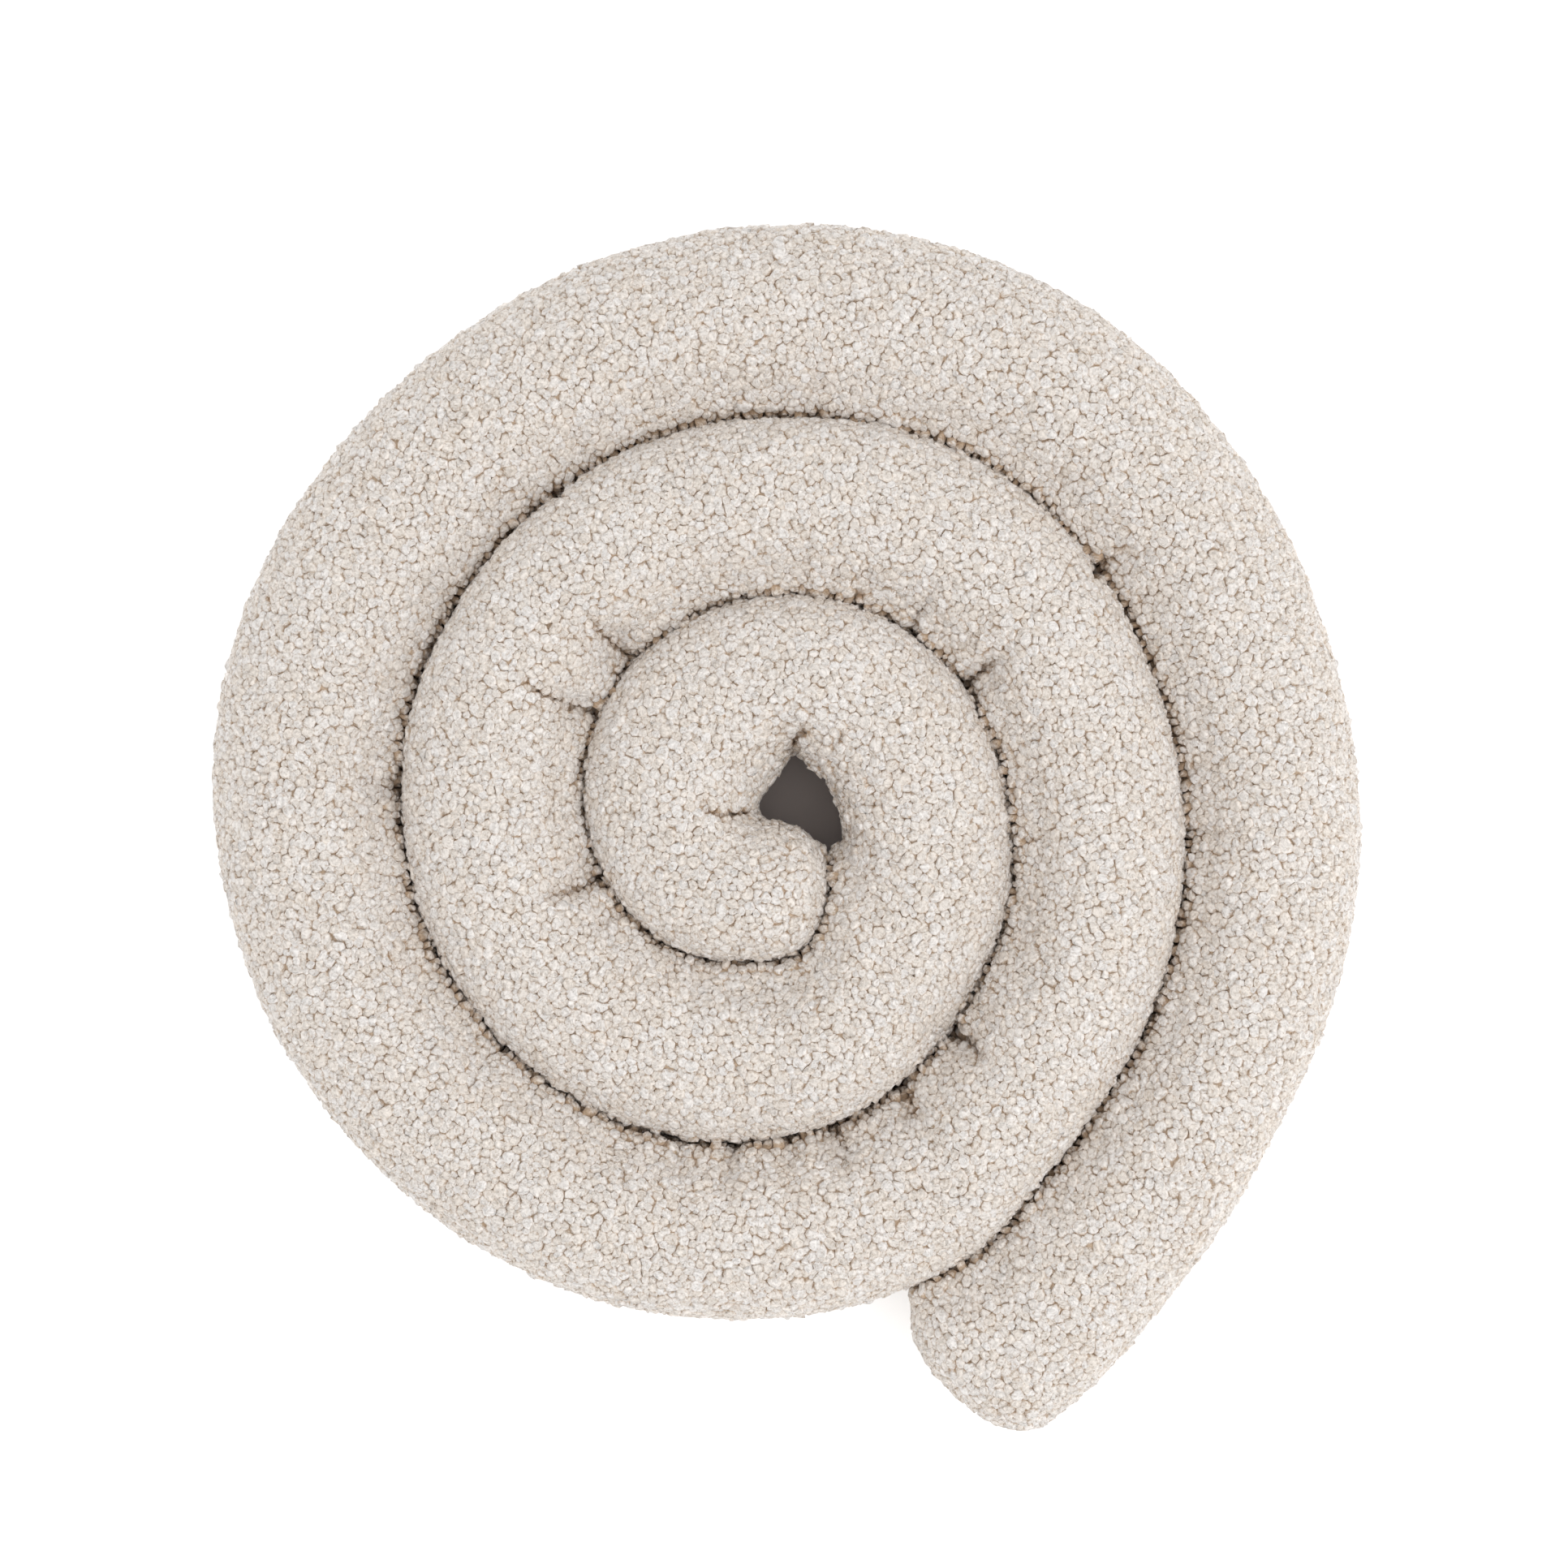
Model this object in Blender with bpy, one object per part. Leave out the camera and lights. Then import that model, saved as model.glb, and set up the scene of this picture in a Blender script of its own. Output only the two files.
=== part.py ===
"""Bed bumper snake: one long filled tube of curly cloth, coiled flat on itself.

The tube is a single sewn sleeve, closed at both ends, so it is one solid.
It is built as rings of points along the coil. A ring reaches from the inner
edge of its winding to the outer edge, and each winding's inner edge lies just
outside the outer edge of the winding before it.

Turns are counted in degrees, clockwise seen from above, from the blind end in
the middle to the free end outside. Lengths are in metres, +Z is up.
"""
import math

import bpy
import numpy as np

# Driving dimensions
NODE = "snake"
START_ANGLE = 290.0        # direction of turn 0, counted from +X
FIRST_RING_TURN = 50.0     # the first full ring, behind the blind end
LAST_RING_TURN = 1080.5    # the last full ring, before the free end
RING_STEP = 0.0160         # along the tube, where it is smooth
CREASE_RINGS = 1.3         # how many more rings there are at a crease
CREASE_ZONE = 0.016        # along the tube, that they spread over
WINDING_GAP = 0.0010       # between two windings at their widest
SECTION_AREA = 0.01015     # of the filling, which a squeezed place pushes up
SECTION_FILL = 0.87        # share of its width times height that a section fills
HEIGHT_LIMITS = (0.097, 0.112)
WIDEST_AT = 0.45           # height of the widest line over the tube's height
CROWN_SHIFT = 0.003        # the crown leans outwards
FLAT_CUT = 0.004           # how far the rest flattens the round underside
OUTER_FULLNESS = 2.35      # exponent of the section's outer shoulder
INNER_FULLNESS = 2.05      # the same of its inner shoulder
LOWER_FULLNESS = 2.30      # the same of its lower half
CAP_RINGS = 5

CLOTH_COLOUR = (0.68, 0.62, 0.55, 1.0)
CLOTH_ROUGHNESS = 0.95

# Outer edge of the tube, by turn: (turn, radius)
OUTER_EDGE = (
    (-8, 0.0515), (-4, 0.061), (6, 0.080), (14, 0.094), (22, 0.101),
    (30, 0.104), (60, 0.125), (90, 0.134), (130, 0.139), (180, 0.134),
    (220, 0.130), (270, 0.131), (300, 0.141), (330, 0.162), (360, 0.193),
    (390, 0.223), (420, 0.240), (470, 0.251), (510, 0.245), (540, 0.245),
    (560, 0.242), (590, 0.245), (630, 0.239), (660, 0.249), (690, 0.268),
    (708, 0.287), (720, 0.312), (750, 0.334), (780, 0.349), (835, 0.370),
    (880, 0.363), (940, 0.363), (990, 0.351), (1020, 0.359), (1045, 0.368),
    (1060, 0.388), (1068, 0.4035), (1077, 0.426),
)

# Edge of the open middle that the first winding lies round: (turn, radius)
HOLE_EDGE = (
    (60, 0.016), (78, 0.017), (92, 0.019), (112, 0.017), (145, 0.015),
    (178, 0.017), (197, 0.019), (220, 0.019), (261, 0.020), (302, 0.024),
    (320, 0.032), (343, 0.043), (352, 0.051),
)

# How many degrees the inner edge of a ring runs ahead of its outer edge
RING_LEAD = (
    (50, 40.0), (70, 24.0), (100, 7.0), (130, 0.0), (1000, 0.0),
    (1040, 3.0), (1080, 8.5),
)

# Creases that run from the inner edge up towards the crown:
# (turn at the inner edge, depth, half width, reach over the tube's width,
#  lean: degrees of turn between the crease's foot and its head)
CREASES = (
    (94, 0.006, 0.006, 0.45, 0.0),
    (197, 0.006, 0.006, 0.42, 0.0),
    (368, 0.004, 0.009, 0.30, 0.0),
    (450, 0.008, 0.008, 0.62, -2.5),
    (492.5, 0.008, 0.007, 0.58, 0.0),
    (511, 0.010, 0.013, 0.50, -1.5),
    (593, 0.005, 0.008, 0.34, 0.0),
    (616, 0.009, 0.010, 0.42, 0.0),
    (675, 0.005, 0.034, 0.34, 0.0),
    (705, 0.010, 0.012, 0.44, 0.0),
    (721, 0.006, 0.008, 0.30, 0.0),
    (733, 0.010, 0.009, 0.46, 0.0),
    (742, 0.004, 0.006, 0.36, 0.0),
    (750, 0.005, 0.007, 0.40, 0.0),
    (758, 0.005, 0.006, 0.30, 0.0),
    (831, 0.006, 0.022, 0.20, 0.0),
    (888, 0.004, 0.014, 0.16, 0.0),
    (973, 0.004, 0.009, 0.22, 0.0),
    (1006, 0.005, 0.007, 0.34, 0.0),
    (1014, 0.006, 0.008, 0.38, 0.0),
)

# The two closed ends: (length beyond the full tube, fullness)
BLIND_END = (0.0385, 2.1)
FREE_END = (0.042, 2.5)

# Angles round a ring, from the outer edge over the crown and under the tube
RING_ANGLES = (
    0, 17, 34, 51, 68, 84, 100, 116, 132, 148, 164, 180,
    202, 225, 248, 270, 292, 315, 338,
)


def clear_scene():
    for thing in list(bpy.data.objects):
        bpy.data.objects.remove(thing, do_unlink=True)


def row_value(rows, turn):
    """Smooth curve through the rows' (turn, value) pairs."""
    turns = [row[0] for row in rows]
    values = [row[1] for row in rows]
    if turn <= turns[0]:
        return values[0]
    if turn >= turns[-1]:
        return values[-1]
    right = next(i for i, edge in enumerate(turns) if edge > turn)
    left = right - 1

    def slope(i):
        before = max(i - 1, 0)
        after = min(i + 1, len(rows) - 1)
        return (values[after] - values[before]) / (turns[after] - turns[before])

    span = turns[right] - turns[left]
    t = (turn - turns[left]) / span
    bend_left = slope(left) * span
    bend_right = slope(right) * span
    return ((2 * t ** 3 - 3 * t ** 2 + 1) * values[left]
            + (t ** 3 - 2 * t ** 2 + t) * bend_left
            + (3 * t ** 2 - 2 * t ** 3) * values[right]
            + (t ** 3 - t ** 2) * bend_right)


def outer_point(turn):
    return polar(turn, row_value(OUTER_EDGE, turn))


def inner_point(turn):
    """On the open middle first, then just outside the winding before."""
    hole_closes = HOLE_EDGE[-1][0]
    if turn <= hole_closes:
        return polar(turn, row_value(HOLE_EDGE, turn))
    return polar(turn, row_value(OUTER_EDGE, turn - 360) + WINDING_GAP)


def polar(turn, radius):
    angle = math.radians(START_ANGLE - turn)
    return np.array([radius * math.cos(angle), radius * math.sin(angle)])


def ring_ends(turn):
    """Outer and inner point of the ring at this turn."""
    lead = row_value(RING_LEAD, turn)
    return outer_point(turn - lead / 2), inner_point(turn + lead / 2)


def ring_middle(turn):
    outer, inner = ring_ends(turn)
    return (outer + inner) / 2


def tube_direction(turn):
    step = ring_middle(turn + 1) - ring_middle(turn - 1)
    return step / np.linalg.norm(step)


def ring_turns():
    """Turns of the rings: even steps along the tube, closer at a crease."""
    fine = np.arange(FIRST_RING_TURN, LAST_RING_TURN + 0.25, 0.5)
    middles = np.array([ring_middle(turn) for turn in fine])
    runs = np.linalg.norm(np.diff(middles, axis=0), axis=1)
    along = np.concatenate([[0.0], np.cumsum(runs)])
    crease_turns = [crease[0] for crease in CREASES]
    crease_places = np.interp(crease_turns, fine, along)
    nearest = np.abs(along[:, None] - crease_places[None, :]).min(axis=1)
    weight = 1 + CREASE_RINGS * np.exp(-(nearest / CREASE_ZONE) ** 2)
    spread = np.concatenate([[0.0], np.cumsum(runs * (weight[1:] + weight[:-1]) / 2)])
    count = round(spread[-1] / RING_STEP)
    turns = np.interp(np.linspace(0, spread[-1], count + 1), spread, fine)
    for crease_turn in crease_turns:
        turns[np.argmin(np.abs(turns - crease_turn))] = crease_turn
    return list(turns)


def section_height(turn, half_width):
    """The filling keeps its area, so a narrow place stands higher."""
    outer, inner = ring_ends(turn)
    across = (outer - inner) / np.linalg.norm(outer - inner)
    direction = tube_direction(turn)
    square_on = abs(across[0] * direction[1] - across[1] * direction[0])
    height = SECTION_AREA / (2 * half_width * square_on) / SECTION_FILL
    return min(max(height, HEIGHT_LIMITS[0]), HEIGHT_LIMITS[1])


def power(value, exponent):
    return math.copysign(abs(value) ** exponent, value)


def section_point(angle, half_width, height):
    """One point of the plain section: (across, up), before any crease."""
    side = math.cos(math.radians(angle))
    rise = math.sin(math.radians(angle))
    widest = WIDEST_AT * height
    if rise >= 0:
        fullness = OUTER_FULLNESS if side >= 0 else INNER_FULLNESS
        lift = power(rise, 2 / fullness)
        across = half_width * power(side, 2 / fullness) + CROWN_SHIFT * lift
        up = widest + (height - widest) * lift
    else:
        lift = power(rise, 2 / LOWER_FULLNESS)
        across = half_width * power(side, 2 / LOWER_FULLNESS)
        up = max(widest + (widest + FLAT_CUT) * lift, 0.0)
    return max(min(across, half_width), -half_width), up


def crease_depth(turn, radius, share):
    """How deep the creases press in (share: 0 inner edge, 1 outer edge)."""
    depth = 0.0
    for foot, deepest, half_width, reach, lean in CREASES:
        climbed = share / reach
        off = math.radians(turn - foot - lean * climbed) * radius
        fade = max(1.0 - climbed, 0.0)
        fade = fade * fade * (3 - 2 * fade)
        depth = max(depth, deepest * fade * math.exp(-(off / half_width) ** 2))
    return depth


def ring_points(turn):
    """World points of one full ring."""
    outer, inner = ring_ends(turn)
    middle = (outer + inner) / 2
    half_width = np.linalg.norm(outer - inner) / 2
    outwards = (outer - inner) / (2 * half_width)
    height = section_height(turn, half_width)
    lead = row_value(RING_LEAD, turn)
    core = WIDEST_AT * height
    points = []
    for angle in RING_ANGLES:
        across, up = section_point(angle, half_width, height)
        share = (across / half_width + 1) / 2
        radius = np.linalg.norm(middle + outwards * across)
        depth = crease_depth(turn + lead * (0.5 - share), radius, share)
        depth *= min(up / core, 1.0)
        from_core = math.hypot(across, up - core)
        across *= 1 - depth / from_core
        up -= depth * (up - core) / from_core
        place = middle + outwards * across
        points.append((place[0], place[1], up))
    return np.array(points)


def cap_direction(turn, side):
    """Square to the ring, away from the tube (side -1 blind end, 1 free end)."""
    outer, inner = ring_ends(turn)
    outwards = (outer - inner) / np.linalg.norm(outer - inner)
    square = np.array([outwards[1], -outwards[0]])
    return square * side * math.copysign(1, square @ tube_direction(turn))


def cap_rings(ring, direction, length, fullness):
    """Shrinking rings and a last point that close one end."""
    edges = ring[[0, RING_ANGLES.index(180)], :2]
    middle = np.append(edges.mean(axis=0), ring[:, 2].max() * WIDEST_AT)
    rings = []
    for i in range(1, CAP_RINGS + 1):
        angle = math.radians(90 * i / (CAP_RINGS + 1))
        scale = power(math.cos(angle), 2 / fullness)
        shift = length * power(math.sin(angle), 2 / fullness)
        moved = middle + (ring - middle) * scale
        moved[:, :2] += direction * shift
        rings.append(moved)
    tip = middle.copy()
    tip[:2] += direction * length
    return rings, tip


def build_snake():
    turns = ring_turns()
    rings = [ring_points(turn) for turn in turns]
    blind_rings, blind_tip = cap_rings(rings[0], cap_direction(turns[0], -1), *BLIND_END)
    free_rings, free_tip = cap_rings(rings[-1], cap_direction(turns[-1], 1), *FREE_END)
    rings = blind_rings[::-1] + rings + free_rings

    count = len(RING_ANGLES)
    points = np.concatenate(rings + [[blind_tip], [free_tip]])
    low = points.min(axis=0)
    high = points.max(axis=0)
    points -= [(low[0] + high[0]) / 2, (low[1] + high[1]) / 2, low[2]]

    faces = []
    for i in range(len(rings) - 1):
        here = i * count
        there = here + count
        for j in range(count):
            k = (j + 1) % count
            faces.append((here + j, here + k, there + k, there + j))
    last = (len(rings) - 1) * count
    blind = len(rings) * count
    for j in range(count):
        k = (j + 1) % count
        faces.append((blind, k, j))
        faces.append((blind + 1, last + j, last + k))

    mesh = bpy.data.meshes.new(NODE)
    mesh.from_pydata([tuple(point) for point in points], [], faces)
    mesh.validate()
    mesh.shade_smooth()
    snake = bpy.data.objects.new(NODE, mesh)
    bpy.context.collection.objects.link(snake)
    snake.data.materials.append(curly_cloth())
    return snake


def curly_cloth():
    material = bpy.data.materials.new("curly_cloth")
    material.use_nodes = True
    shader = material.node_tree.nodes["Principled BSDF"]
    shader.inputs["Base Color"].default_value = CLOTH_COLOUR
    shader.inputs["Roughness"].default_value = CLOTH_ROUGHNESS
    shader.inputs["Metallic"].default_value = 0.0
    return material


clear_scene()
build_snake()
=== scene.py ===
"""Looks of the bed bumper snake: a filled sleeve of curly pile cloth, coiled flat.

The sleeve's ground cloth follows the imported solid, a pile's height inside it.
On it stand the curls of the pile, one small tufted loop each, as joined meshes.
Lengths are in metres, +Z is up.
"""
import math

import bmesh
import bpy
import numpy as np
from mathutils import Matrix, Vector, noise
from mathutils.bvhtree import BVHTree


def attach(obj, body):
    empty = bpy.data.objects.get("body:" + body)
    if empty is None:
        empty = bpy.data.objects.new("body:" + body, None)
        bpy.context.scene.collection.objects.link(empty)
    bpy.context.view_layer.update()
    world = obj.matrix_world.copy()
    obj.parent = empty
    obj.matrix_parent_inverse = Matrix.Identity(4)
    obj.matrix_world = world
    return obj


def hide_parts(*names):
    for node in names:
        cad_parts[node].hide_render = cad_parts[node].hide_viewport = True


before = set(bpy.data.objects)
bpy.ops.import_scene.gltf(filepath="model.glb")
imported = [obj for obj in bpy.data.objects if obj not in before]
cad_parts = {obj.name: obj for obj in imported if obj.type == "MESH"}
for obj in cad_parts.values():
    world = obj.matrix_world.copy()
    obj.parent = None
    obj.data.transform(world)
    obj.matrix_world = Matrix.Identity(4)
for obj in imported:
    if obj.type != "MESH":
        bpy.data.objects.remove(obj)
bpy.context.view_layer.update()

SNAKE = "snake"
SEED = 20240611
COIL_CENTRE = (0.0066, 0.0190)     # the point that the windings run round

# The sleeve's ground cloth
PILE_HEIGHT = 0.0030         # from the ground cloth to the tips of the curls
FILL_LUMP = 0.0010           # how far lumps in the filling push the cloth
FILL_LUMP_SPAN = 0.050       # from one lump to the next
FREE_HEIGHT = 0.030          # lumps grow to their full size over this height
SLACK_START = 0.0016         # the unfilled sleeve is this much smaller all round
SWELL_LIMIT = 0.0030         # the furthest that the filling pushes any place
FILL_PRESSURE = 4.0          # of the filling on the cloth
FILL_FRAMES = 20             # steps in which it swells the sleeve
SPARE_CLOTH = 0.008          # share by which the cloth is longer than the form
SIDE_FACING = 0.8            # cloth that faces up or down more than this meets no winding
RAY_START = 0.0005           # the way to the next winding is measured from this far out
WINDING_REACH = 0.026        # windings nearer than this lean on each other
WINDING_REST = 0.0070        # from ground cloth to ground cloth where they do
WINDING_SLACK = 0.0020       # that distance grows this much on the looser side
LOOSER_SIDE = ((0.12, 325), (0.22, 230))   # radius, direction of that side in degrees
LEAN_LIMIT = 0.0060          # the furthest that the cloth leans in one round
LEAN_ROUNDS = 3
SMOOTHING_ROUNDS = 3         # in which the leaning is evened out along the cloth
MATTED = 0.0010              # the closed pile's underside lies this high over the cloth
LOWERED = 0.0010             # where the pile opens, the cloth is this much lower instead

# Folds where the cloth is squeezed on the inner side of a bend, as rows of:
# direction in degrees, foot from the coil's middle, length, lean in degrees,
# depth, half width
FOLDS = (
    (156, 0.142, 0.058, 4, 0.0065, 0.0032),
    (201, 0.131, 0.046, 7, 0.0059, 0.0032),
    (138, 0.135, 0.046, 8, 0.0046, 0.0036),
    (34, 0.131, 0.032, -3, 0.0078, 0.0040),
    (54, 0.130, 0.038, 18, 0.0036, 0.0030),
    (73, 0.132, 0.036, 5, 0.0023, 0.0030),
    (347, 0.142, 0.026, 32, 0.0033, 0.0035),
    (91, 0.025, 0.033, -15, 0.0085, 0.0040),
    (196, 0.036, 0.031, -21, 0.0085, 0.0040),
    (271, 0.106, 0.050, 28, 0.0020, 0.0035),
    (304, 0.183, 0.022, 25, 0.0080, 0.0055),
    (290, 0.196, 0.025, 3, 0.0080, 0.0055),
    (277, 0.210, 0.040, 5, 0.0046, 0.0040),
    (269, 0.217, 0.022, 22, 0.0026, 0.0035),
    (259, 0.221, 0.036, 6, 0.0033, 0.0035),
    (255, 0.225, 0.036, 23, 0.0026, 0.0030),
    (249, 0.227, 0.018, 2, 0.0033, 0.0040),
    (37, 0.235, 0.036, 2, 0.0072, 0.0045),
    (4, 0.247, 0.022, 3, 0.0039, 0.0040),
    (355, 0.250, 0.035, 5, 0.0033, 0.0035),
    (342, 0.259, 0.025, 14, 0.0033, 0.0035),
    (183, 0.250, 0.027, -9, 0.0033, 0.0040),
    (72, 0.237, 0.036, 18, 0.0020, 0.0030),
    (128, 0.239, 0.022, -8, 0.0033, 0.0040),
)
FOLD_WAVE = (0.06, 5)        # a fold's line waves by this share of its length, this fast
FOLD_START = 0.030           # folds begin at this height and are whole at twice of it
FOLD_OPENING = (0.0010, 0.0050)    # depth where a fold starts to part the pile, and does
PLEAT_DEPTH = 0.0016         # small gathers between the folds
PLEATS_ROUND = 15            # as many fit in one radian, about

# The curls of the pile
TOP_SPACING = 0.0061         # between the middles of two curls where the cloth faces up
LOW_SPACING = 0.0074         # and where it faces down
SPACING_TURN = (-0.5, 0.1)   # between these facings the one turns into the other
CURL_CROWDING = 1.16         # over the closest even spread of that spacing
CURL_UNEVEN = 0.20           # spread of their sizes
CURL_SIZES = (0.65, 1.45)    # the smallest and the largest
SETTLING_ROUNDS = 18         # in which they shove each other to an even spread
SHOVE = 0.30                 # share of the missing room that one round makes
SHOVE_LIMIT = 0.3            # longest shove in one round, over the spacing
SAME_SIDE = 0.2              # curls touch if their directions agree more than this
CURL_REACH = 0.72            # furthest that a curl's side reaches, over its spacing
CURL_OUTLINE = ((1, 0.16), (2, 0.18), (3, 0.14))    # waves round a curl, and their size
CURL_RIM = ((1, 0.26), (2, 0.10), (3, 0.08))        # the same for the height of a ring
CURL_RISE = 0.58             # height above the ground cloth over spacing
HEIGHT_SPREAD = (0.84, 1.14)       # the lowest and the highest curls, over that
TIP_SPREAD = (0.86, 1.06)          # flat and pointed tips
OPEN_SINK = (0.10, 0.60)           # share by which curls are lower where the pile opens
SHAGGY_RISE = (0.0, 1.2)           # and higher where it is shaggy
CURL_ROOT = 0.0012           # how far a curl reaches below the ground cloth
CURL_LEAN = 0.20             # how far its tip leans, over its width
OPEN_LEAN = 0.40             # and how much further where the pile opens
OPEN_NARROWING = 0.32        # share by which curls are narrower there
CLUMP_SPAN = 0.009           # from one clump of curls to the next
CLUMP_RISE = 0.10            # share by which the curls in its middle stand higher
# Rings of a curl from its tip down: (radius over its own, height over its own)
FULL_CURL_RINGS = ((0.71, 1.00), (1.12, 0.80), (1.26, 0.0))
FULL_CURL_SIDES = 7
SIDE_CURL_RINGS = ((1.08, 0.86), (1.24, 0.0))
SIDE_CURL_SIDES = 5
PLAIN_CURL_RINGS = ((1.08, 0.86), (1.24, 0.0))
PLAIN_CURL_SIDES = 4
TOP_FACING = 0.22            # curls that face up more than this are full ones
TIGHT_GAP = 0.0030           # windings closer than this hide their pile
GROOVE_REACH = 0.024         # the pile opens where the next winding is nearer
TIDY_NARROWING = 0.004       # that reach is this much shorter on the tidier side
SHAGGY_SIDE = 350            # direction of the shaggier side of the coil, in degrees
TIDY_SHARE = 0.8             # share by which the flanks are less shaggy opposite it
OUTER_SHAGGINESS = 0.45      # in a groove, on the outer side of the winding inside it
FLANK_SHAGGINESS = 0.08      # on the upper part of a winding's inner side
DEEP_SHAGGINESS = 0.18       # added on its steep part
REST_HEIGHT = 0.006          # the pile below this is pressed on the surface
CLEARANCE = 0.0004           # of the lowest curls over the surface
STRAND_SHIFT = (0.0035, 0.0035, 5.0)    # sets the strands of one curl off from the next
TILE_FILL = 0.44             # half width of a curl in its tile of the bake map
SECTORS = 5                  # pieces that the pile is split into

# Yarn
KNOTS = 480.0                # fineness of its knots, bends and strands, to the metre
BENDS = 300.0
STRANDS = 1700.0
BEND_REACH = 0.0022          # how far the bends push the strands
STRAND_TURN = 0.0006         # how fast strands change on their way round a curl
STRAND_FRAY = 2.4            # how much strands fray the line between root and tip
STRAND_SHADE = 1.2           # and how much painted shade between them darkens the yarn
ROOT_TONE_TOP = 0.22         # up to this share of a curl's height it has its root's tone: tan, partly its own and partly painted crevice shade
OPEN_SUNK = 0.22             # curls in open pile are toned as if so much deeper, with more root tan and painted shade
GROOVE_SHADE_AT_TIP = 0.22           # share of painted groove shade, a dark brown, at the tips of open pile
GROOVE_SHADE_AT_ROOT = 0.58          # and at the roots

# Studio
CAMERA_HEIGHT = 1.75
FRAME_WIDTH = 1.000          # of the view, at the tube's widest line
WIDEST_LINE = 0.050
COIL_MIDDLE = (-0.0009, 0.0279)    # the point that the camera stands over
SENSOR = 0.036               # width of the camera's sensor
FLOOR_REACH = 6.0
PAINTED_SHADE_RADIUS = 0.290        # radius of the dark disc of painted shade under the coil
PAINTED_SHADE_HEIGHT = 0.0002        # its height over the floor
WINDOW_SIZE = 1.6
WINDOW_PLACE = (1.30, -0.47, 1.5)


def link(thing):
    """The object, put into the scene."""
    bpy.context.scene.collection.objects.link(thing)
    return thing


# ---------------------------------------------------------------- ground cloth

def welded_copy(node):
    """The solid's surface as one welded mesh of quads."""
    work = bmesh.new()
    work.from_mesh(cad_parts[node].data)
    bmesh.ops.remove_doubles(work, verts=work.verts, dist=1e-6)
    bmesh.ops.join_triangles(
        work, faces=work.faces,
        angle_face_threshold=math.radians(60), angle_shape_threshold=math.radians(80),
    )
    bmesh.ops.recalc_face_normals(work, faces=work.faces)
    mesh = bpy.data.meshes.new("ground_cloth")
    work.to_mesh(mesh)
    work.free()
    return mesh


def with_modifiers(thing):
    """The mesh of an object with its modifiers applied."""
    graph = bpy.context.evaluated_depsgraph_get()
    return bpy.data.meshes.new_from_object(thing.evaluated_get(graph))


def points_of(mesh):
    """The mesh's vertices as rows of x, y, z."""
    points = np.empty(len(mesh.vertices) * 3)
    mesh.vertices.foreach_get("co", points)
    return points.reshape(-1, 3)


def normals_of(mesh):
    """The smooth normal at each vertex of the mesh."""
    normals = np.empty(len(mesh.vertices) * 3)
    mesh.vertex_normals.foreach_get("vector", normals)
    return normals.reshape(-1, 3)


def put_points(mesh, points):
    """The mesh's vertices moved to these points."""
    mesh.vertices.foreach_set("co", points.ravel())
    mesh.update()


def push_out(mesh, distance):
    """Each point of the mesh moved along the cloth's normal there."""
    put_points(mesh, points_of(mesh) + normals_of(mesh) * np.reshape(distance, (-1, 1)))


def fill_sleeve(sleeve):
    """The filling swells the slack cloth; how far a place moves is capped."""
    mesh = sleeve.data
    before = points_of(mesh)
    held = sleeve.vertex_groups.new(name="held")
    held.add(np.flatnonzero(before[:, 2] < REST_HEIGHT).tolist(), 1.0, "REPLACE")
    cloth = sleeve.modifiers.new("filling", "CLOTH")
    cloth.settings.quality = 5
    cloth.settings.mass = 0.3
    cloth.settings.tension_stiffness = 15
    cloth.settings.compression_stiffness = 15
    cloth.settings.bending_stiffness = 1.0
    cloth.settings.shrink_min = -SPARE_CLOTH
    cloth.settings.use_pressure = True
    cloth.settings.uniform_pressure_force = FILL_PRESSURE
    cloth.settings.vertex_group_mass = "held"
    cloth.settings.effector_weights.gravity = 0
    cloth.collision_settings.use_collision = False
    cloth.point_cache.frame_end = FILL_FRAMES
    for frame_number in range(1, FILL_FRAMES + 1):
        bpy.context.scene.frame_set(frame_number)
    swollen = with_modifiers(sleeve)
    moved = points_of(swollen) - before
    bpy.data.meshes.remove(swollen)
    sleeve.modifiers.clear()
    sleeve.vertex_groups.clear()
    bpy.context.scene.frame_set(1)
    far = np.linalg.norm(moved, axis=1) + 1e-9
    moved *= np.minimum(1, SWELL_LIMIT / far)[:, None]
    put_points(mesh, before + moved)


def neighbours_mean(mesh, values, rounds):
    """The values evened out along the mesh's edges."""
    edges = np.empty(len(mesh.edges) * 2, np.int32)
    mesh.edges.foreach_get("vertices", edges)
    one, other = edges.reshape(-1, 2).T
    links = np.bincount(np.concatenate([one, other]), minlength=len(values))
    for _ in range(rounds):
        total = np.bincount(one, values[other], len(values))
        total += np.bincount(other, values[one], len(values))
        values = values / 2 + total / links / 2
    return values


def facing_middle(places, facings):
    """1 where the cloth faces the coil's middle, -1 where it faces away."""
    plan = places[:, :2] - np.array(COIL_CENTRE)
    plan /= np.linalg.norm(plan, axis=1)[:, None]
    return -np.einsum("ij,ij->i", facings[:, :2], plan)


def winding_gaps(tree, places, facings, reach):
    """Distance along the cloth's normal to the next winding, up to reach."""
    gap = np.full(len(places), reach)
    for i in np.flatnonzero(np.abs(facings[:, 2]) < SIDE_FACING):
        start = Vector(places[i] + facings[i] * RAY_START)
        hit = tree.ray_cast(start, Vector(facings[i]), reach)
        if hit[0] is not None:
            gap[i] = hit[3]
    return gap


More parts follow.
